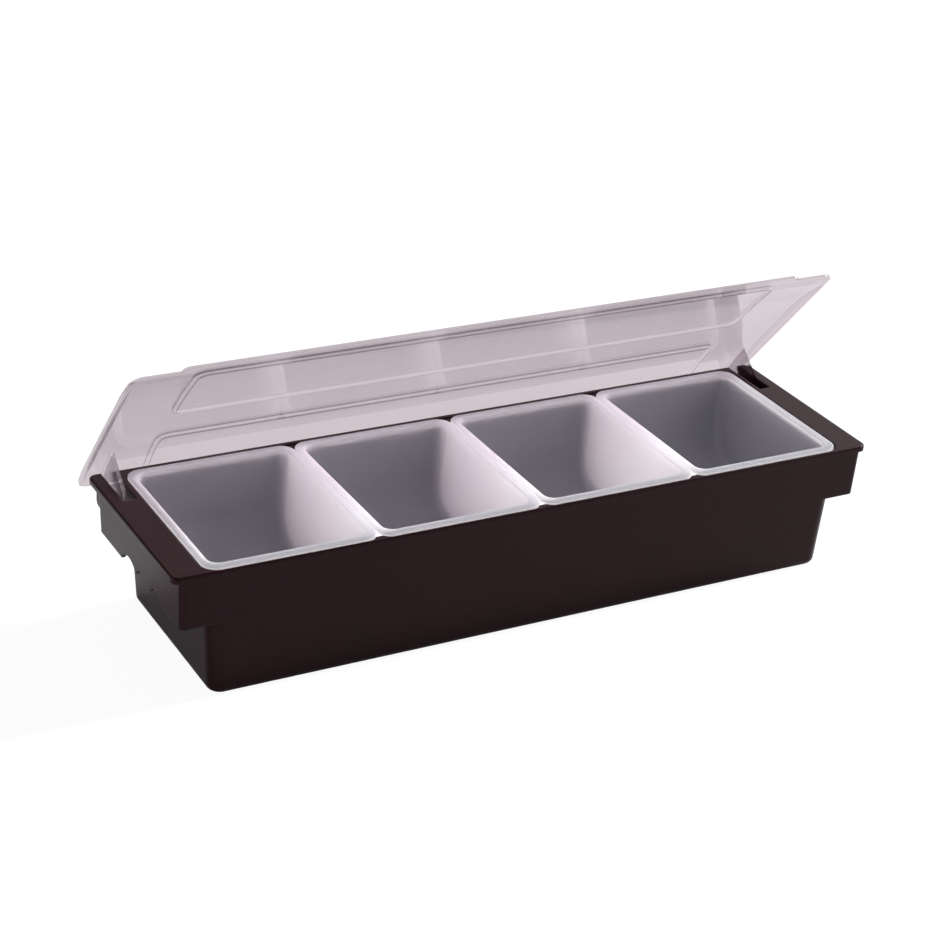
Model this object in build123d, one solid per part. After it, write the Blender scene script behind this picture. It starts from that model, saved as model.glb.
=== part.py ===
from build123d import *
import math
import os

# Countertop condiment caddy: a dark moulded tray with finger-grip ends, four lift-out
# white inserts that hang by their flanges, and one clear hinged lid over all of them.
#
# Millimetres, +Z up.  The origin is the centre of the tray's flat base: X runs along the
# tray, -Y is the side the guest serves from, and the lid is hinged along the +Y side.
# The lid stands part open, at the angle LID_OPEN_ANGLE.

# ---------------------------------------------------------------- driving dimensions
# tray rim
RIM_LENGTH = 500.0
RIM_WIDTH = 141.6
RIM_THICKNESS = 4.0
RIM_CORNER = 5.0
RIM_EDGE_ROUND = 1.1
TRAY_HEIGHT = 86.8

# tray tub, the ice compartment under the inserts
TUB_WALL = 2.8
TUB_FLOOR = 2.8
TUB_END_INSET_TOP = 21.2
TUB_END_INSET_BASE = 26.2
TUB_FRONT_INSET_BASE = 1.5
TUB_BACK_INSET_TOP = 5.2
TUB_BACK_INSET_BASE = 10.9
TUB_CORNER = 9.0
TUB_BASE_ROUND = 5.0
TUB_INSIDE_ROUND = 3.2

# hand grips: the aprons that hang under both ends of the rim
GRIP_INSET_TOP = 4.3
GRIP_INSET_BOTTOM = 5.3
GRIP_DEPTH = 35.7
GRIP_WALL = 2.2
GRIP_CORNER = 3.5
SCALLOP_COUNT = 3
SCALLOP_PITCH = 22.7
SCALLOP_HEIGHT = 6.5
SCALLOP_START = 27.0
SCALLOP_TIP_ROUND = 0.9

# inserts
INSERT_COUNT = 4
ROW_END_INSET = 21.4
INSERT_SETBACK = 2.2
INSERT_GAP = 0.4
INSERT_WIDTH = 134.4
INSERT_DEPTH = 63.0
INSERT_WALL = 1.6
INSERT_DRAFT = 3.5
FLANGE_THICKNESS = 1.9
FLANGE_SIDE = 5.6
FLANGE_FRONT = 6.4
FLANGE_CORNER = 10.0
FLANGE_EDGE_ROUND = 0.85
POCKET_CORNER = 8.5
POCKET_LIP_ROUND = 1.6
SCOOP_RADIUS = 26.0

# rebate in the rim that locates the row of inserts
REBATE_DEPTH = 0.9
REBATE_CLEARANCE = 0.9
LEDGE_CLEARANCE = 1.0

# lid
LID_END_OVERHANG = 1.6
LID_DEPTH = 148.7
LID_WALL = 2.2
LID_CORNER = 8.0
LID_CROWN = 5.2
LID_EDGE = 0.9
LID_BACK_RISE = 44.2
LID_FRONT_FALL = 55.0
LID_END_ROUND = 2.4
LID_FLANGE = 5.3
LID_FLANGE_THICKNESS = 1.6
LID_LIP = 5.0
LID_LIP_INSET = 31.2
LID_LIP_ROUND = 4.5
LID_GAP = 0.3
LID_OPEN_ANGLE = 50.7

# raised fields pressed into the lid
FIELD_RISE = 1.6
FIELD_END_INSET = 42.6
FIELD_CORNER = 8.0
FIELD_EDGE_ROUND = 1.0
FIELD_HOLLOW_ROUND = 0.8
BACK_FIELD_START = 5.4
BACK_FIELD_END = 52.1
FRONT_FIELD_START = 80.6
FRONT_FIELD_SETBACK = 1.0

# lid hinge
HINGE_BACK_INSET = 5.7
HINGE_DROP = 12.0
HINGE_LID_INSET = 16.0
HINGE_PIN_RADIUS = 3.0
HINGE_PIN_CLEARANCE = 0.06
HINGE_HUB_RADIUS = 4.8
HINGE_SIDE_CLEARANCE = 0.35
HINGE_PIN_ENTRY = 1.8
SNAP_THROAT = 4.8
SLOT_INSET = 8.6
SLOT_WIDTH = 8.5
SLOT_LENGTH = 40.2
BEARING_WALL = 2.2
BEARING_OUTER_WALL = 3.0
BEARING_DROP = 20.5
BEARING_BACK_INSET = 1.2
BEARING_BACK_ROUND = 4.0
LUG_THICKNESS = 2.5
LUG_FRONT = 41.0
LUG_BACK = 8.5
LUG_DEPTH = 28.5
LUG_CORNER = 3.0
LUG_HUB_SHARE = 0.8
LUG_BACK_ROOT = 1.3
LUG_MIDDLE_ROOT = 3.2
LUG_FRONT_ROOT = 4.0

# how far a cutter, or a wall that joins another, runs past the face that it meets
OVERRUN = 1.0
# an edge or a face counts as upright, or as along an axis, from this share of its direction
MOSTLY = 0.7
# how close an edge lies to the place that it is looked for at
NEAR = 0.1

# ---------------------------------------------------------------- places worked out
FRONT = -RIM_WIDTH / 2
BACK = RIM_WIDTH / 2
END = RIM_LENGTH / 2
RIM_TOP = TRAY_HEIGHT
RIM_UNDER = TRAY_HEIGHT - RIM_THICKNESS
GRIP_BOTTOM = TRAY_HEIGHT - GRIP_DEPTH

SEAT = RIM_TOP - REBATE_DEPTH
FLANGE_TOP = SEAT + FLANGE_THICKNESS
ROW_LENGTH = RIM_LENGTH - 2 * ROW_END_INSET
INSERT_PITCH = ROW_LENGTH / INSERT_COUNT
INSERT_FRONT = FRONT + INSERT_SETBACK
INSERT_MIDDLE = INSERT_FRONT + INSERT_WIDTH / 2

HINGE_Y = BACK - HINGE_BACK_INSET
HINGE_Z = RIM_TOP - HINGE_DROP
LID_BACK = HINGE_Y + HINGE_LID_INSET
LID_PLANE = FLANGE_TOP + LID_GAP
LID_LENGTH = RIM_LENGTH + 2 * LID_END_OVERHANG
LID_HEADROOM = LID_CROWN + FIELD_RISE + OVERRUN


def rounded_prism(x0, x1, y0, y1, z0, z1, radius):
    """Upright block with rounded vertical corners."""
    outline = Rectangle(x1 - x0, y1 - y0)
    outline = fillet(outline.vertices(), radius)
    return Pos((x0 + x1) / 2, (y0 + y1) / 2, z0) * extrude(outline, z1 - z0)


def drawn_out(plane, outline, length):
    """Outline drawn on a plane and extruded along the plane's normal."""
    return extrude(plane * outline, length, dir=plane.z_dir)


def drafted_block(low, high, z_low, z_high):
    """Block between two rectangles, each (x0, x1, y0, y1), one above the other."""
    faces = []
    for (x0, x1, y0, y1), z in ((low, z_low), (high, z_high)):
        face = Rectangle(x1 - x0, y1 - y0)
        faces.append(Pos((x0 + x1) / 2, (y0 + y1) / 2, z) * face)
    return loft(faces, ruled=True)


def upright_edges(solid):
    """The four near-vertical edges of a drafted block."""
    return [e for e in solid.edges() if abs(e.tangent_at(0.5).Z) > MOSTLY]


def mix(top, base, z):
    """Inset of a drafted wall at height z, from its insets at the rim and at the base."""
    return base + (top - base) * z / TRAY_HEIGHT


def tub_rectangle(z, offset):
    """Plan of the tub at height z, drawn in by offset on every side."""
    x = END - mix(TUB_END_INSET_TOP, TUB_END_INSET_BASE, z) - offset
    front = FRONT + mix(0.0, TUB_FRONT_INSET_BASE, z) + offset
    back = BACK - mix(TUB_BACK_INSET_TOP, TUB_BACK_INSET_BASE, z) - offset
    return (-x, x, front, back)


def tub_solid(z_low, z_high, offset, base_round):
    """Drafted tub form with round corners and a round bottom edge."""
    block = drafted_block(tub_rectangle(z_low, offset), tub_rectangle(z_high, offset), z_low, z_high)
    block = fillet(upright_edges(block), TUB_CORNER - offset)
    bottom = block.faces().sort_by(Axis.Z)[0]
    return fillet(bottom.edges(), base_round)


def grip_rectangle(z, offset):
    """Plan of the grip aprons at height z: their front and back lie in the tub's planes."""
    share = (RIM_TOP - z) / GRIP_DEPTH
    x = END - GRIP_INSET_TOP - (GRIP_INSET_BOTTOM - GRIP_INSET_TOP) * share - offset
    front = FRONT + mix(0.0, TUB_FRONT_INSET_BASE, z) + offset
    back = BACK - mix(TUB_BACK_INSET_TOP, TUB_BACK_INSET_BASE, z) - offset
    return (-x, x, front, back)


def grip_block(z_low, offset):
    """Drafted block of the aprons from z_low up to the underside of the rim."""
    low = grip_rectangle(z_low, offset)
    high = grip_rectangle(RIM_UNDER, offset)
    block = drafted_block(low, high, z_low, RIM_UNDER)
    return fillet(upright_edges(block), GRIP_CORNER - offset)


def scallops():
    """Cutters for the finger scallops in the lower edge of both aprons."""
    half = SCALLOP_PITCH / 2
    radius = (half**2 + SCALLOP_HEIGHT**2) / (2 * SCALLOP_HEIGHT)
    cutters = []
    for index in range(SCALLOP_COUNT):
        y = FRONT + SCALLOP_START + SCALLOP_PITCH * (index + 0.5)
        z = GRIP_BOTTOM + SCALLOP_HEIGHT - radius
        for side in (-1, 1):
            x = side * (END - GRIP_INSET_BOTTOM)
            rod = Rot(0, 90, 0) * Cylinder(radius, 2 * (GRIP_WALL + OVERRUN))
            cutters.append(Pos(x, y, z) * rod)
    return cutters


def scallop_tips(tray):
    """Edges where the scallops meet each other and the flat lower edge of the aprons."""
    places = [FRONT + SCALLOP_START + SCALLOP_PITCH * index for index in range(SCALLOP_COUNT + 1)]
    tips = []
    for edge in tray.edges().filter_by(Axis.X):
        middle = edge.center()
        at_tip = min(abs(middle.Y - place) for place in places) < NEAR
        if at_tip and abs(middle.Z - GRIP_BOTTOM) < NEAR:
            tips.append(edge)
    return tips


def hinge_bearing(side):
    """Two ribs and a cross wall that hang under the rim round one hinge slot."""
    slot_outer = END - SLOT_INSET
    slot_inner = slot_outer - SLOT_WIDTH
    y0 = BACK - SLOT_LENGTH - BEARING_WALL
    y1 = BACK - BEARING_BACK_INSET
    z0 = RIM_TOP - BEARING_DROP
    outer = rounded_side_rib(slot_outer, slot_outer + BEARING_OUTER_WALL, y0, y1, z0)
    inner = rounded_side_rib(slot_inner - BEARING_WALL, slot_inner, y0, y1, z0)
    cross = Pos((slot_outer + slot_inner) / 2, y0 + BEARING_WALL / 2, (z0 + RIM_UNDER) / 2) * Box(
        SLOT_WIDTH, BEARING_WALL, RIM_UNDER - z0
    )
    bearing = outer + inner + cross
    return bearing if side > 0 else bearing.mirror(Plane.YZ)


def rounded_side_rib(x0, x1, y0, y1, z0):
    """Rib in a YZ plane whose back lower corner is rounded below the hinge axis."""
    z1 = RIM_UNDER + OVERRUN
    profile = Polygon((y0, z1), (y1, z1), (y1, z0), (y0, z0), align=None)
    corner = profile.vertices().sort_by(Axis.X)[-2:].sort_by(Axis.Y)[0]
    profile = fillet(corner, BEARING_BACK_ROUND)
    side_on = Plane(origin=(x0, 0, 0), x_dir=(0, 1, 0), z_dir=(1, 0, 0))
    return drawn_out(side_on, profile, x1 - x0)


def hinge_cuts(side):
    """Slot through the rim, notch in the back of the apron, and the two snap bearings."""
    slot_outer = END - SLOT_INSET
    slot_inner = slot_outer - SLOT_WIDTH
    middle = (slot_outer + slot_inner) / 2
    slot_front = BACK - SLOT_LENGTH
    upward = (Align.CENTER, Align.MIN, Align.MIN)
    slot = Pos(middle, slot_front, RIM_UNDER - OVERRUN) * Box(
        SLOT_WIDTH, SLOT_LENGTH + OVERRUN, RIM_THICKNESS + 2 * OVERRUN, align=upward
    )
    notch = Pos(middle, HINGE_Y - SLOT_WIDTH, GRIP_BOTTOM - OVERRUN) * Box(
        SLOT_WIDTH, 2 * SLOT_WIDTH, GRIP_DEPTH, align=upward
    )
    reach = SLOT_WIDTH + 2 * HINGE_PIN_ENTRY + 2 * HINGE_PIN_CLEARANCE
    bore = Pos(middle, HINGE_Y, HINGE_Z) * Rot(0, 90, 0) * Cylinder(
        HINGE_PIN_RADIUS + HINGE_PIN_CLEARANCE, reach
    )
    throat = Pos(middle, HINGE_Y, HINGE_Z) * Box(
        reach, HINGE_BACK_INSET + OVERRUN, SNAP_THROAT, align=(Align.CENTER, Align.MIN, Align.CENTER)
    )
    cuts = slot + notch + bore + throat
    return cuts if side > 0 else cuts.mirror(Plane.YZ)


def make_tray():
    """Tub, rim, grips, insert rebate and hinge bearings, moulded as one piece."""
    rim = rounded_prism(-END, END, FRONT, BACK, RIM_UNDER, RIM_TOP, RIM_CORNER)
    rim = fillet(rim.faces().sort_by(Axis.Z)[-1].edges(), RIM_EDGE_ROUND)
    tub = tub_solid(0.0, RIM_UNDER + OVERRUN, 0.0, TUB_BASE_ROUND)
    grips = grip_block(GRIP_BOTTOM, 0.0)
    hollow = grip_block(GRIP_BOTTOM - OVERRUN, GRIP_WALL) - tub
    tray = rim + tub + grips - hollow
    for side in (-1, 1):
        tray += hinge_bearing(side)

    cavity = tub_solid(TUB_FLOOR, RIM_UNDER, TUB_WALL, TUB_INSIDE_ROUND)
    body_front = INSERT_FRONT + FLANGE_FRONT - INSERT_WALL
    body_back = INSERT_FRONT + INSERT_WIDTH - FLANGE_FRONT + INSERT_WALL
    body_end = ROW_LENGTH / 2 - FLANGE_SIDE + INSERT_WALL
    opening = rounded_prism(
        -body_end - LEDGE_CLEARANCE,
        body_end + LEDGE_CLEARANCE,
        body_front - LEDGE_CLEARANCE,
        body_back + LEDGE_CLEARANCE,
        RIM_UNDER - OVERRUN,
        RIM_TOP + OVERRUN,
        POCKET_CORNER,
    )
    rebate = rounded_prism(
        -ROW_LENGTH / 2 - REBATE_CLEARANCE,
        ROW_LENGTH / 2 + REBATE_CLEARANCE,
        INSERT_FRONT - REBATE_CLEARANCE,
        INSERT_FRONT + INSERT_WIDTH + REBATE_CLEARANCE,
        SEAT,
        RIM_TOP + OVERRUN,
        FLANGE_CORNER + REBATE_CLEARANCE,
    )
    tray -= [cavity, opening, rebate]
    tray -= scallops()
    tray = fillet(scallop_tips(tray), SCALLOP_TIP_ROUND)
    for side in (-1, 1):
        tray -= hinge_cuts(side)
    return tray


def scoop_profile(offset, top):
    """Front-to-back outline of an insert: drafted walls that sweep into the floor."""
    lean = math.tan(math.radians(INSERT_DRAFT))
    half = INSERT_WIDTH / 2 - FLANGE_FRONT + INSERT_WALL - offset
    floor = FLANGE_TOP - INSERT_DEPTH + offset
    low = half - lean * (FLANGE_TOP - floor)
    high = half + lean * (top - FLANGE_TOP)
    outline = Polygon((-high, top), (high, top), (low, floor), (-low, floor), align=None)
    corners = outline.vertices().sort_by(Axis.Y)[:2]
    return fillet(corners, SCOOP_RADIUS - offset)


def insert_form(offset, top):
    """Outside (offset 0) or inside of an insert: a swept scoop between drafted ends."""
    lean = math.tan(math.radians(INSERT_DRAFT))
    half = (INSERT_PITCH - INSERT_GAP) / 2 - FLANGE_SIDE + INSERT_WALL - offset
    floor = FLANGE_TOP - INSERT_DEPTH + offset
    under = floor - OVERRUN
    low = half - lean * (FLANGE_TOP - under)
    high = half + lean * (top - FLANGE_TOP)
    side_on = Plane(origin=(-high, 0, 0), x_dir=(0, 1, 0), z_dir=(1, 0, 0))
    scoop = drawn_out(side_on, scoop_profile(offset, top), 2 * high)
    end_on = Plane(origin=(0, INSERT_WIDTH, 0), x_dir=(1, 0, 0), z_dir=(0, -1, 0))
    ends = Polygon((-high, top), (high, top), (low, under), (-low, under), align=None)
    form = scoop & drawn_out(end_on, ends, 2 * INSERT_WIDTH)
    rim_edges = [e for e in form.edges() if abs(e.center().Z - top) < NEAR]
    along = [e for e in form.edges() if abs(e.tangent_at(0.5).X) > MOSTLY]
    skip = rim_edges + along
    around = [e for e in form.edges() if e not in skip]
    return fillet(around, POCKET_CORNER - offset)


def make_insert():
    """One lift-out insert, centred on its flange, in place in height."""
    length = INSERT_PITCH - INSERT_GAP
    flange = rounded_prism(
        -length / 2, length / 2, -INSERT_WIDTH / 2, INSERT_WIDTH / 2, SEAT, FLANGE_TOP, FLANGE_CORNER
    )
    top_edges = flange.faces().sort_by(Axis.Z)[-1].edges()
    flange = fillet(top_edges, FLANGE_EDGE_ROUND)
    body = insert_form(0.0, SEAT + FLANGE_THICKNESS / 2)
    insert = flange + body
    insert -= insert_form(INSERT_WALL, FLANGE_TOP + OVERRUN)
    mouth = insert.faces().filter_by(Axis.Z).sort_by(Axis.Z)[-1].inner_wires()[0]
    return fillet(mouth.edges(), POCKET_LIP_ROUND)


def camber(offset):
    """Side view of the lid's cambered form: distance from the back edge, and height."""
    front_end = LID_DEPTH - LID_FLANGE
    crown = LID_CROWN + offset
    back = LID_EDGE + offset
    front = LID_FLANGE_THICKNESS + offset
    crown_end = front_end - LID_FRONT_FALL
    bottom = -LID_CROWN
    outline = Polyline((0, back), (0, bottom), (front_end, bottom), (front_end, front))
    outline += TangentArc((crown_end, crown), (front_end, front), tangent=(1, 0))
    outline += Line((crown_end, crown), (LID_BACK_RISE, crown))
    outline += TangentArc((LID_BACK_RISE, crown), (0, back), tangent=(-1, 0))
    return make_face(outline)


def skin(offset):
    """Cambered block over the whole lid, above the plane of its free edges."""
    half = LID_LENGTH / 2
    side_on = Plane(origin=(half, 0, 0), x_dir=(0, -1, 0), z_dir=(-1, 0, 0))
    block = drawn_out(side_on, camber(offset), LID_LENGTH)
    crown = LID_CROWN + offset
    ends = Pos(0, crown / 2) * Rectangle(LID_LENGTH, crown)
    ends = fillet(ends.vertices().group_by(Axis.Y)[-1], LID_END_ROUND)
    end_on = Plane(origin=(0, OVERRUN, 0), x_dir=(-1, 0, 0), z_dir=(0, 1, 0))
    return block & drawn_out(end_on, ends, -LID_DEPTH - 2 * OVERRUN)


def lid_plan(inset, radius):
    """Upright prism over the lid's outline, drawn in by inset."""
    half = LID_LENGTH / 2 - inset
    return rounded_prism(-half, half, -LID_DEPTH + inset, -inset, 0, LID_HEADROOM, radius)


def field_plan(start, end, inset):
    """Upright prism over one raised field, from start to end behind the front edge."""
    half = LID_LENGTH / 2 - FIELD_END_INSET - inset
    return rounded_prism(
        -half, half, -end + inset, -start - inset, 0, LID_HEADROOM, FIELD_CORNER - inset
    )


def raised_field(rise, start, end, inset, edge_round):
    """Block that fills one raised field down to the free edges, with a round upper edge."""
    block = skin(rise) & field_plan(start, end, inset)
    upper_edges = []
    for wall in block.faces():
        if abs(wall.normal_at().Z) < 1 - MOSTLY:
            level = [e for e in wall.edges() if abs(e.tangent_at(0.5).Z) < MOSTLY]
            upper_edges += [e for e in level if e.center().Z > LID_WALL / 2]
    return fillet(upper_edges, edge_round)


def hinge_lug(side):
    """Plate under one end of the lid with the hub and pins that the lid turns on."""
    axis_h = HINGE_Z - LID_PLANE
    inside_hub = LUG_HUB_SHARE * HINGE_HUB_RADIUS
    plate = Polygon(
        (LUG_BACK, LUG_BACK_ROOT),
        (LID_BACK_RISE / 2, LUG_MIDDLE_ROOT),
        (LUG_FRONT, LUG_FRONT_ROOT),
        (LUG_FRONT, -LUG_DEPTH),
        (HINGE_LID_INSET, axis_h - inside_hub),
        (HINGE_LID_INSET - inside_hub, axis_h),
        align=None,
    )
    corner = plate.vertices().sort_by(Axis.Y)[0]
    plate = fillet(corner, LUG_CORNER)
    x = side * (END - SLOT_INSET - SLOT_WIDTH / 2)
    side_on = Plane(origin=(x + LUG_THICKNESS / 2, 0, 0), x_dir=(0, -1, 0), z_dir=(-1, 0, 0))
    lug = drawn_out(side_on, plate, LUG_THICKNESS)
    centre = Pos(x, -HINGE_LID_INSET, axis_h) * Rot(0, 90, 0)
    hub = centre * Cylinder(HINGE_HUB_RADIUS, SLOT_WIDTH - 2 * HINGE_SIDE_CLEARANCE)
    pin = centre * Cylinder(HINGE_PIN_RADIUS, SLOT_WIDTH + 2 * HINGE_PIN_ENTRY)
    return lug + hub + pin


def make_lid():
    """Clear one-piece lid, drawn closed with its back edge on Y = 0, then put in place."""
    half = LID_LENGTH / 2
    form = skin(0.0) & lid_plan(0.0, LID_CORNER)
    flange = Pos(0, -LID_DEPTH, 0) * Box(
        LID_LENGTH, LID_FLANGE + OVERRUN, LID_FLANGE_THICKNESS, align=(Align.CENTER, Align.MIN, Align.MIN)
    )
    shell = form + (flange & lid_plan(0.0, LID_CORNER))
    hollow = skin(-LID_WALL) & lid_plan(LID_WALL, LID_CORNER - LID_WALL)
    fields = (
        (BACK_FIELD_START, BACK_FIELD_END),
        (FRONT_FIELD_START, LID_DEPTH - LID_FLANGE - FRONT_FIELD_SETBACK),
    )
    for start, end in fields:
        shell += raised_field(FIELD_RISE, start, end, 0.0, FIELD_EDGE_ROUND)
        hollow += raised_field(FIELD_RISE - LID_WALL, start, end, LID_WALL, FIELD_HOLLOW_ROUND)
    shell -= hollow
    lip_half = half - LID_LIP_INSET
    lip = rounded_prism(
        -lip_half,
        lip_half,
        -LID_DEPTH - LID_LIP,
        -LID_DEPTH + LID_LIP_ROUND,
        0,
        LID_FLANGE_THICKNESS,
        LID_LIP_ROUND,
    )
    shell += lip
    for side in (-1, 1):
        shell += hinge_lug(side)
    closed = Pos(0, LID_BACK, LID_PLANE) * shell
    return closed.rotate(Axis((0, HINGE_Y, HINGE_Z), (1, 0, 0)), -LID_OPEN_ANGLE)


def main():
    os.makedirs("parts", exist_ok=True)
    export_step(make_tray(), "parts/tray.step")
    export_step(make_lid(), "parts/lid.step")
    insert = make_insert()
    for index in range(INSERT_COUNT):
        x = (index - (INSERT_COUNT - 1) / 2) * INSERT_PITCH
        export_step(Pos(x, INSERT_MIDDLE, 0) * insert, f"parts/insert_{index + 1}.step")


main()
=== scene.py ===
"""Countertop condiment caddy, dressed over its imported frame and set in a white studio.

The frame gives the tray, the lid and the four inserts.  This script gives them their
finishes: satin dark moulded plastic, clear polished plastic and translucent white
plastic.  It also sets the floor, the lamps and the camera of the photograph.
Everything is in metres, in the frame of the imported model.
"""

import logging
import math
from dataclasses import dataclass
from enum import Enum

import bpy
from mathutils import Euler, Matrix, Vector

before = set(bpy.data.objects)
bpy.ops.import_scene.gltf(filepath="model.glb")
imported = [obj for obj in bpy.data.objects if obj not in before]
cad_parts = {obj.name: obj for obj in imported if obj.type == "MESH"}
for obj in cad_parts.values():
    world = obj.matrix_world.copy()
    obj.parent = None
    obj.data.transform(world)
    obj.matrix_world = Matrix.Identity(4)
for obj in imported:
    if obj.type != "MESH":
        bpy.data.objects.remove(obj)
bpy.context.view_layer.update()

Span = tuple[float, float]
Triple = tuple[float, float, float]
Socket = bpy.types.NodeSocket

LOG = logging.getLogger("condiment_caddy")
MM = 0.001
WHOLE: Span = (0.0, 1.0)
WHITE: Triple = (1.0, 1.0, 1.0)
BEVEL_SAMPLES = 6
# cosine between the true and the rounded normal, where the painted shade at an edge starts
# and is full
EDGE_TURN: Span = (0.95, 0.75)


class Ray(Enum):
    """The kinds of ray that the shaders tell apart."""

    CAMERA = "Is Camera Ray"
    TRANSMITTED = "Is Transmission Ray"
    MIRRORED = "Is Glossy Ray"
    SHADOW = "Is Shadow Ray"


@dataclass(frozen=True)
class Pattern:
    """A noise pattern on a surface.

    Attributes:
        size: Size of a blotch in metres.
        detail: Octaves of finer noise.
        stretch: Factor on the coordinates along each axis, or None for none.
    """

    size: float
    detail: float = 3.0
    stretch: Triple | None = None


def opaque(colour: Triple) -> tuple[float, float, float, float]:
    """A colour with full alpha."""
    return (*colour, 1.0)


def grey(level: float) -> Triple:
    """A neutral grey."""
    return (level, level, level)


class Nodes:
    """The node tree of a material or a world, with short calls to add and join nodes."""

    def __init__(self, owner: bpy.types.Material | bpy.types.World, output: str) -> None:
        """Start with nothing but an output and the coordinates.

        Args:
            owner: The material or the world.
            output: Type name of its output node.
        """
        owner.use_nodes = True
        self.owner = owner
        self.tree = owner.node_tree
        self.tree.nodes.clear()
        self.output = self.add(output)
        self.coordinates = self.add("ShaderNodeTexCoord")

    @classmethod
    def for_material(cls, name: str) -> "Nodes":
        """Start a new material."""
        return cls(bpy.data.materials.new(name), "ShaderNodeOutputMaterial")

    @classmethod
    def for_world(cls, name: str) -> "Nodes":
        """Start a new world."""
        return cls(bpy.data.worlds.new(name), "ShaderNodeOutputWorld")

    def add(self, kind: str, **values: object) -> bpy.types.Node:
        """Add one node.

        Args:
            kind: The node's type name.
            **values: Attributes of the node to set.

        Returns:
            The new node.
        """
        node = self.tree.nodes.new(kind)
        for name, value in values.items():
            setattr(node, name, value)
        return node

    def join(self, start: Socket, end: Socket) -> None:
        """Link an output to an input."""
        self.tree.links.new(start, end)

    def feed(self, value: Socket | Triple | float, end: Socket) -> None:
        """Link an output to an input, or set the input to a constant.

        Args:
            value: The output, or a colour or number.
            end: The input.
        """
        if isinstance(value, Socket):
            self.join(value, end)
        else:
            end.default_value = opaque(value) if end.type == "RGBA" else value

    def show(self, surface: Socket) -> None:
        """Send a shader to the output."""
        self.join(surface, self.output.inputs["Surface"])

    def is_ray(self, kind: Ray) -> Socket:
        """The socket with 1 for a ray of the kind and 0 for any other."""
        return self.add("ShaderNodeLightPath").outputs[kind.value]

    def calculated(self, operation: str, *values: Socket | float) -> Socket:
        """Numbers put together by a Math node.

        Args:
            operation: The node's operation.
            *values: The numbers, in the order of the node's inputs.

        Returns:
            The socket with the result.
        """
        node = self.add("ShaderNodeMath", operation=operation)
        for value, end in zip(values, node.inputs):
            self.feed(value, end)
        return node.outputs["Value"]

    def noise(self, pattern: Pattern) -> Socket:
        """Noise on the object's own coordinates.

        Args:
            pattern: Its size, detail and stretch.

        Returns:
            The socket with the noise, from 0 to 1.
        """
        where = self.coordinates.outputs["Object"]
        if pattern.stretch:
            mapping = self.add("ShaderNodeMapping")
            mapping.inputs["Scale"].default_value = pattern.stretch
            self.join(where, mapping.inputs["Vector"])
            where = mapping.outputs["Vector"]
        node = self.add("ShaderNodeTexNoise")
        node.inputs["Scale"].default_value = 1.0 / pattern.size
        node.inputs["Detail"].default_value = pattern.detail
        self.join(where, node.inputs["Vector"])
        return node.outputs["Fac"]

    def between(self, value: Socket, start: Span, end: Span = WHOLE) -> Socket:
        """A value moved from one range to another, and held inside it.

        Args:
            value: The value.
            start: The range that it has.
            end: The range that it gets.

        Returns:
            The socket with the new value.
        """
        node = self.add("ShaderNodeMapRange")
        for name, number in zip(("From Min", "From Max", "To Min", "To Max"), (*start, *end)):
            node.inputs[name].default_value = number
        self.join(value, node.inputs["Value"])
        return node.outputs["Result"]

    def tint(self, share: Socket, low: Socket | Triple, high: Socket | Triple) -> Socket:
        """A colour between two others.

        Args:
            share: 0 for the low colour, 1 for the high one.
            low: The first colour, or the socket that holds it.
            high: The second colour, or its socket.

        Returns:
            The socket with the colour.
        """
        node = self.add("ShaderNodeMix", data_type="RGBA")
        self.join(share, node.inputs["Factor"])
        ends = (socket for socket in node.inputs if socket.type == "RGBA")
        for colour, end in zip((low, high), ends):
            self.feed(colour, end)
        return next(socket for socket in node.outputs if socket.type == "RGBA")

    def mixed(self, share: Socket | float, first: Socket, second: Socket) -> Socket:
        """A shader between two others.

        Args:
            share: 0 for the first shader, 1 for the second, or the socket that holds it.
            first: The first shader.
            second: The second shader.

        Returns:
            The socket with the shader.
        """
        node = self.add("ShaderNodeMixShader")
        self.feed(share, node.inputs["Fac"])
        self.join(first, node.inputs[1])
        self.join(second, node.inputs[2])
        return node.outputs["Shader"]

    def bump(self, height: Socket, depth: float, normal: Socket | None = None) -> Socket:
        """Surface relief from a height.

        Args:
            height: The height, from 0 to 1.
            depth: Real depth of the relief in metres.
            normal: The normal that the relief is laid over.

        Returns:
            The socket with the new normal.
        """
        node = self.add("ShaderNodeBump")
        node.inputs["Distance"].default_value = depth
        self.join(height, node.inputs["Height"])
        if normal is not None:
            self.join(normal, node.inputs["Normal"])
        return node.outputs["Normal"]

    def rounded(self, radius: float) -> Socket:
        """The normal that edges rounded to a radius in metres would have."""
        node = self.add("ShaderNodeBevel", samples=BEVEL_SAMPLES)
        node.inputs["Radius"].default_value = radius
        return node.outputs["Normal"]

    def edges(self, radius: float) -> Socket:
        """A mask of the piece's own edges, which places painted shade there.

        Args:
            radius: How far in metres the mask reaches from an edge.

        Returns:
            The socket with 1 at an edge and 0 away from all edges.
        """
        turned = self.add("ShaderNodeVectorMath", operation="DOT_PRODUCT")
        self.join(self.rounded(radius), turned.inputs[0])
        self.join(self.add("ShaderNodeNewGeometry").outputs["Normal"], turned.inputs[1])
        return self.between(turned.outputs["Value"], EDGE_TURN)


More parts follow.
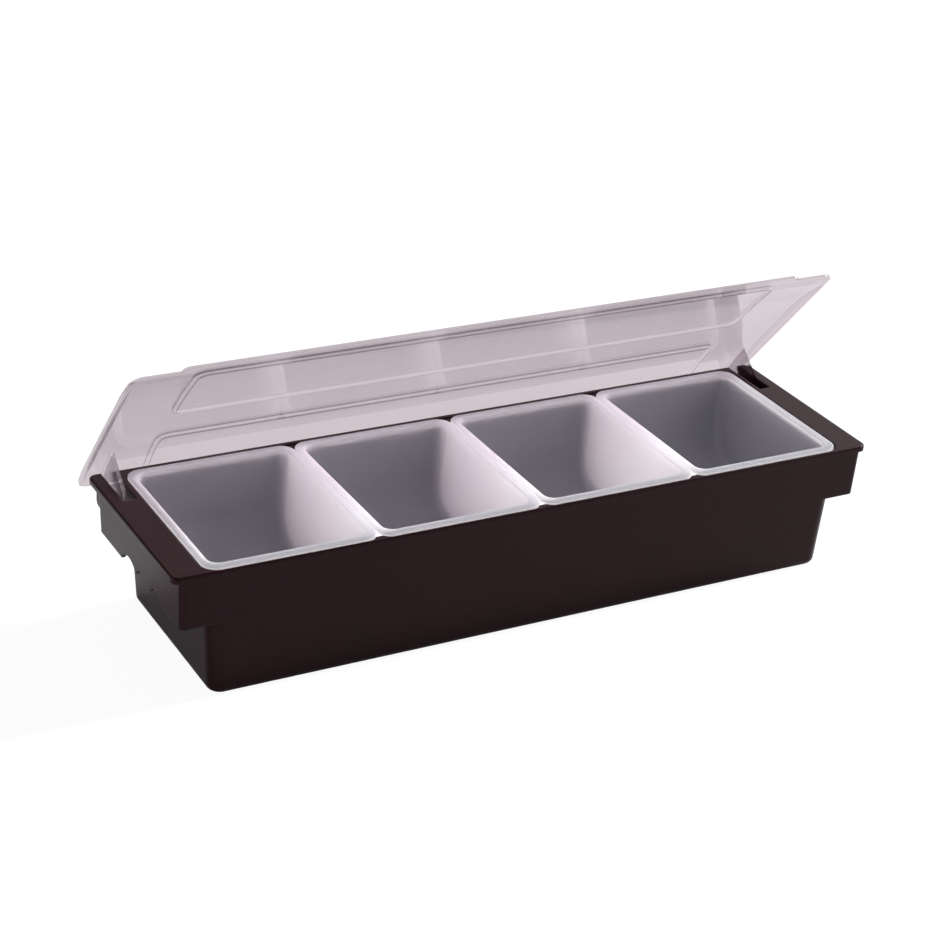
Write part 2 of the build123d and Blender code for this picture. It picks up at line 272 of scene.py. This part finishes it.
@dataclass(frozen=True)
class MouldedFinish:
    """Opaque or translucent moulded plastic with a fine spark-eroded grain.

    Attributes:
        name: Name of the material.
        low: Darkest colour of the slow mottle.
        high: Lightest colour of the slow mottle.
        roughness: Least and greatest roughness.
        grain: Pattern of the grain.
        glow: Share of the light that passes on into the plastic, 0 for an opaque one.
        edge: Radius in metres of the softened look of sharp edges.
        gloss: Strength of reflections, 0.5 for common plastic.
        gloss_tint: Colour of reflections.
        glow_colour: Colour of the light that passes on.
        grain_depth: Depth of the grain in metres.
        mottle: Pattern of the colour.
        sheen: Pattern of the roughness.
        spread: Range of a pattern over which the colour or the roughness changes.
    """

    name: str
    low: Triple
    high: Triple
    roughness: Span
    grain: Pattern
    glow: float
    edge: float
    gloss: float
    gloss_tint: Triple = WHITE
    glow_colour: Triple = WHITE
    grain_depth: float = 0.0008 * MM
    mottle: Pattern = Pattern(45 * MM, detail=4.0)
    sheen: Pattern = Pattern(28 * MM, detail=2.0)
    spread: Span = (0.1, 0.9)

    def material(self) -> bpy.types.Material:
        """Build the material.

        Returns:
            The new material.
        """
        nodes = Nodes.for_material(self.name)
        shader = nodes.add("ShaderNodeBsdfPrincipled")
        mottle = nodes.between(nodes.noise(self.mottle), self.spread)
        values = {
            "Specular IOR Level": self.gloss,
            "Specular Tint": self.gloss_tint,
            "Base Color": nodes.tint(mottle, self.low, self.high),
            "Roughness": nodes.between(nodes.noise(self.sheen), self.spread, self.roughness),
            "Normal": nodes.bump(
                nodes.noise(self.grain), self.grain_depth, nodes.rounded(self.edge)
            ),
        }
        for name, value in values.items():
            nodes.feed(value, shader.inputs[name])

        surface = shader.outputs["BSDF"]
        if self.glow:
            through = nodes.add("ShaderNodeBsdfTranslucent")
            nodes.feed(self.glow_colour, through.inputs["Color"])
            surface = nodes.mixed(self.glow, surface, through.outputs["BSDF"])
        nodes.show(surface)
        return nodes.owner


@dataclass(frozen=True)
class ClearFinish:
    """Clear polished plastic with a faint warm cast, hairline scratches, handling haze and
    painted shade at its edges.

    Attributes:
        name: Name of the material.
        low: Deepest tint of the whole wall, looked through at a slant.
        high: Lightest tint at a slant.
        face_on: Tint where the wall is looked through face on.
        slant: Range of the turn away from the eye over which face on becomes a slant.
        edge: Width in metres of the painted shade at its edges.
        edge_shade_tint: Tint at the edges: partly the longer path through the plastic, mostly
            painted shade for the dark lines that refraction draws at rounded edges.
        roughness: Least and greatest roughness.
        ior: Index of refraction.
        straight: Share of the light that crosses a thin wall without being bent.
        shine: Index of refraction that sets how strongly the polished skin mirrors.
        skin_roughness: Roughness of the polished skin.
        haze: Pattern of the tint.
        haze_spread: Range of that pattern over which the tint changes.
        smear: Pattern of the roughness.
        smear_spread: Range of that pattern over which the roughness changes.
        hairlines: Pattern of the scratches.
        hairline_depth: Depth of the scratches in metres.
    """

    name: str
    low: Triple
    high: Triple
    face_on: Triple
    slant: Span
    edge: float
    edge_shade_tint: Triple
    roughness: Span
    ior: float
    straight: float
    shine: float
    skin_roughness: float
    haze: Pattern
    haze_spread: Span
    smear: Pattern
    smear_spread: Span
    hairlines: Pattern
    hairline_depth: float

    def material(self) -> bpy.types.Material:
        """Build the material.

        Returns:
            The new material.
        """
        nodes = Nodes.for_material(self.name)
        facing = nodes.add("ShaderNodeLayerWeight").outputs["Facing"]
        slant = nodes.between(facing, self.slant)
        # mask that places the painted shade at the edges
        edges = nodes.edges(self.edge)
        film = self.film(nodes, slant, edges)
        wall = nodes.mixed(self.straight, self.plastic(nodes, slant, edges), film)
        nodes.show(nodes.mixed(nodes.is_ray(Ray.SHADOW), wall, film))
        return nodes.owner

    def plastic(self, nodes: Nodes, slant: Socket, edges: Socket) -> Socket:
        """The wall as plastic that bends and mirrors light.

        Args:
            nodes: The material's tree.
            slant: 0 where the wall is seen face on, 1 where it is seen at a slant.
            edges: The mask of its edges, where the painted shade goes.

        Returns:
            The socket with the shader.
        """
        shader = nodes.add("ShaderNodeBsdfPrincipled")
        haze = nodes.between(nodes.noise(self.haze), self.haze_spread)
        seen = nodes.tint(slant, self.face_on, nodes.tint(haze, self.low, self.high))
        smear = nodes.noise(self.smear)
        values = {
            "Transmission Weight": 1.0,
            "IOR": self.ior,
            "Coat Weight": 1.0,
            "Coat IOR": self.shine,
            "Coat Roughness": self.skin_roughness,
            # painted shade: the edges darken to the edge tint
            "Base Color": nodes.tint(edges, seen, self.edge_shade_tint),
            "Roughness": nodes.between(smear, self.smear_spread, self.roughness),
            "Normal": nodes.bump(nodes.noise(self.hairlines), self.hairline_depth),
        }
        for name, value in values.items():
            nodes.feed(value, shader.inputs[name])
        return shader.outputs["BSDF"]

    def film(self, nodes: Nodes, slant: Socket, edges: Socket) -> Socket:
        """The wall as a tinted film that light crosses without being bent.

        Light crosses both sides of the wall, so each has the square root of the tint.

        Args:
            nodes: The material's tree.
            slant: 0 where the wall is seen face on, 1 where it is seen at a slant.
            edges: The mask of its edges, where the painted shade goes.

        Returns:
            The socket with the shader.
        """
        film = nodes.add("ShaderNodeBsdfTransparent")
        face_on, slanted, edge_shade = (
            tuple(math.sqrt(part) for part in tint)
            for tint in (self.face_on, self.high, self.edge_shade_tint)
        )
        one_side = nodes.tint(slant, face_on, slanted)
        # painted shade: light crossing at the edges takes the darker edge tint
        nodes.join(nodes.tint(edges, one_side, edge_shade), film.inputs["Color"])
        return film.outputs["BSDF"]


DARK_PLASTIC = MouldedFinish(
    name="dark_brown_plastic",
    low=(0.013, 0.0035, 0.0052),
    high=(0.017, 0.0050, 0.0070),
    roughness=(0.27, 0.32),
    grain=Pattern(0.25 * MM, detail=2.0),
    glow=0.0,
    edge=1.8 * MM,
    gloss=0.11,
    gloss_tint=(1.0, 0.78, 0.82),
)
WHITE_PLASTIC = MouldedFinish(
    name="white_plastic",
    low=(0.70, 0.705, 0.775),
    high=(0.73, 0.735, 0.805),
    roughness=(0.38, 0.46),
    grain=Pattern(0.3 * MM, detail=2.0),
    glow=0.69,
    edge=0.25 * MM,
    gloss=0.3,
    glow_colour=(0.975, 0.957, 0.953),
)
CLEAR_PLASTIC = ClearFinish(
    name="clear_plastic",
    low=(0.495, 0.435, 0.47),
    high=(0.525, 0.465, 0.50),
    face_on=(0.66, 0.60, 0.63),
    slant=(0.05, 0.65),
    edge=1.0 * MM,
    # painted shade for the dark lines at the lid's edges, on top of the longer path through
    # them
    edge_shade_tint=(0.24, 0.215, 0.235),
    roughness=(0.03, 0.07),
    ior=1.045,
    straight=0.35,
    shine=1.38,
    skin_roughness=0.04,
    haze=Pattern(60 * MM, detail=5.0),
    haze_spread=(0.3, 0.7),
    smear=Pattern(14 * MM, stretch=(0.3, 1.0, 1.0)),
    smear_spread=(0.45, 0.7),
    hairlines=Pattern(1.2 * MM, detail=2.0, stretch=(0.02, 1.0, 1.0)),
    hairline_depth=0.01 * MM,
)


def dress(node: str, material: bpy.types.Material) -> bpy.types.Object:
    """Give a CAD node its material.

    Args:
        node: Name of the node.
        material: The material.

    Returns:
        The node's object.
    """
    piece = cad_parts[node]
    piece.data.materials.clear()
    piece.data.materials.append(material)
    return piece


@dataclass(frozen=True)
class Tray:
    """The dark moulded tray."""

    node: str = "tray"
    finish: MouldedFinish = DARK_PLASTIC

    def build(self) -> list[bpy.types.Object]:
        """Dress the tray and return it."""
        return [dress(self.node, self.finish.material())]


@dataclass(frozen=True)
class Lid:
    """The clear hinged lid."""

    node: str = "lid"
    finish: ClearFinish = CLEAR_PLASTIC

    def build(self) -> list[bpy.types.Object]:
        """Dress the lid and return it."""
        return [dress(self.node, self.finish.material())]


@dataclass(frozen=True)
class Inserts:
    """The lift-out inserts, numbered from the left."""

    count: int = 4
    finish: MouldedFinish = WHITE_PLASTIC

    def build(self) -> list[bpy.types.Object]:
        """Dress the inserts and return them."""
        material = self.finish.material()
        return [dress(f"insert_{index + 1}", material) for index in range(self.count)]


@dataclass(frozen=True)
class Softbox:
    """A square lamp that looks at the object.

    Attributes:
        name: Name of the lamp.
        place: Where it stands, in metres.
        size: Its side in metres.
        power: Its power in watts.
        aim: The point that it looks at, in metres.
    """

    name: str
    place: Triple
    size: float
    power: float
    aim: Triple = (0.0, 0.0, 0.06)

    def build(self) -> None:
        """Hang the lamp."""
        light = bpy.data.lights.new(self.name, "AREA")
        light.shape = "SQUARE"
        light.size = self.size
        light.energy = self.power
        lamp = bpy.data.objects.new(self.name, light)
        lamp.location = self.place
        view = Vector(self.aim) - lamp.location
        lamp.rotation_euler = view.to_track_quat("-Z", "Y").to_euler()
        bpy.context.scene.collection.objects.link(lamp)


@dataclass(frozen=True)
class Studio:
    """White floor, white surroundings, soft lamps and the photograph's camera.

    Attributes:
        floor_reach: Half the side of the square floor in metres.
        floor_matt: Whiteness of the floor where it only lights other surfaces.
        floor_paper: Whiteness of the floor where it is seen, which keeps the shadow.
        floor_glow: Light that the floor adds where it is seen.
        floor_mirrored: Share of its seen look that glossy surfaces mirror.
        ambient: Strength of the surroundings on matt surfaces.
        room_dim: Share of them that is left where their front or left is mirrored.
        room_depth: Direction along Y over which the mirrored front becomes the back.
        room_width: Direction along X over which the mirrored left becomes the right.
        lamps: The lamps.
        camera_place: Where the camera stands, in metres.
        camera_turn: The camera's turn about X, Y and Z in degrees.
        focal_length: Focal length in millimetres.
        sensor_width: Width of the camera's sensor in millimetres.
    """

    floor_reach: float = 14.0
    floor_matt: float = 0.8
    floor_paper: float = 0.13
    floor_glow: float = 0.94
    floor_mirrored: float = 0.2
    ambient: float = 0.155
    room_dim: float = 0.05
    room_depth: Span = (-0.1, 0.5)
    room_width: Span = (0.25, 0.62)
    lamps: tuple[Softbox, ...] = (
        Softbox("key", place=(4.23, 0.30, 2.91), size=1.5, power=565.0),
        Softbox("fill", place=(-1.7, 0.25, 0.22), size=0.5, power=8.0),
    )
    camera_place: Triple = (-0.69377, -1.14292, 0.74793)
    camera_turn: Triple = (63.3024, -4.0420, -28.6228)
    focal_length: float = 88.13
    sensor_width: float = 36.0

    def build(self) -> None:
        """Set the whole studio."""
        self.floor()
        self.surroundings()
        for lamp in self.lamps:
            lamp.build()
        self.camera()

    def floor(self) -> None:
        """Lay the floor, which shows white and keeps the object's shadow."""
        side = self.floor_reach
        corners = [(-side, -side, 0), (side, -side, 0), (side, side, 0), (-side, side, 0)]
        mesh = bpy.data.meshes.new("floor")
        mesh.from_pydata(corners, [], [(0, 1, 2, 3)])
        mesh.materials.append(self.floor_material())
        floor = bpy.data.objects.new("floor", mesh)
        bpy.context.scene.collection.objects.link(floor)

    def floor_material(self) -> bpy.types.Material:
        """Build the floor's material.

        Returns:
            The new material.
        """
        nodes = Nodes.for_material("white_floor")
        matt, paper = (nodes.add("ShaderNodeBsdfDiffuse") for _ in range(2))
        nodes.feed(grey(self.floor_matt), matt.inputs["Color"])
        nodes.feed(grey(self.floor_paper), paper.inputs["Color"])
        glow = nodes.add("ShaderNodeEmission")
        nodes.feed(self.floor_glow, glow.inputs["Strength"])
        seen = nodes.add("ShaderNodeAddShader")
        nodes.join(paper.outputs["BSDF"], seen.inputs[0])
        nodes.join(glow.outputs["Emission"], seen.inputs[1])
        shown = self.shown_rays(nodes, self.floor_mirrored)
        nodes.show(nodes.mixed(shown, matt.outputs["BSDF"], seen.outputs["Shader"]))
        return nodes.owner

    def surroundings(self) -> None:
        """Surround the scene with white, dimmer on matt surfaces and in mirrored parts."""
        nodes = Nodes.for_world("white_surroundings")
        bpy.context.scene.world = nodes.owner
        split = nodes.add("ShaderNodeSeparateXYZ")
        nodes.join(nodes.coordinates.outputs["Generated"], split.inputs["Vector"])
        gradients = (
            nodes.between(split.outputs[axis], span, (self.room_dim, 1.0))
            for axis, span in (("Y", self.room_depth), ("X", self.room_width))
        )
        room = nodes.calculated("MULTIPLY", *gradients)
        white, mirrored, dim = (
            self.background(nodes, strength) for strength in (1.0, room, self.ambient)
        )
        soft = nodes.mixed(nodes.is_ray(Ray.MIRRORED), dim, mirrored)
        nodes.show(nodes.mixed(self.shown_rays(nodes), soft, white))

    @staticmethod
    def background(nodes: Nodes, strength: Socket | float) -> Socket:
        """A white background.

        Args:
            nodes: The world's tree.
            strength: Its strength, or the socket that holds it.

        Returns:
            The socket with the background.
        """
        node = nodes.add("ShaderNodeBackground")
        nodes.feed(WHITE, node.inputs["Color"])
        nodes.feed(strength, node.inputs["Strength"])
        return node.outputs["Background"]

    @staticmethod
    def shown_rays(nodes: Nodes, mirrored: float = 0.0) -> Socket:
        """Rays that show the plain white background, straight or through something clear.

        Args:
            nodes: The tree that asks.
            mirrored: Share of it that a ray mirrored by a glossy surface shows.

        Returns:
            The socket with 1 for such a ray, the share for a mirrored one, 0 for any other.
        """
        straight, through = (nodes.is_ray(kind) for kind in (Ray.CAMERA, Ray.TRANSMITTED))
        either = nodes.calculated("MAXIMUM", straight, through)
        return nodes.calculated("MULTIPLY_ADD", nodes.is_ray(Ray.MIRRORED), mirrored, either)

    def camera(self) -> None:
        """Set the camera where the photograph was taken from."""
        lens = bpy.data.cameras.new("camera")
        lens.lens = self.focal_length
        lens.sensor_width = self.sensor_width
        camera = bpy.data.objects.new("camera", lens)
        camera.location = self.camera_place
        turn = [math.radians(angle) for angle in self.camera_turn]
        camera.rotation_euler = Euler(turn, "XYZ")
        bpy.context.scene.collection.objects.link(camera)
        bpy.context.scene.camera = camera


def main() -> None:
    """Set the studio, then dress and report every piece."""
    logging.basicConfig(level=logging.INFO)
    bpy.context.scene.view_settings.view_transform = "Standard"
    Studio().build()
    for part in (Tray(), Lid(), Inserts()):
        for piece in part.build():
            LOG.info("%s: %d faces", piece.name, len(piece.data.polygons))


if __name__ == "__main__":
    main()
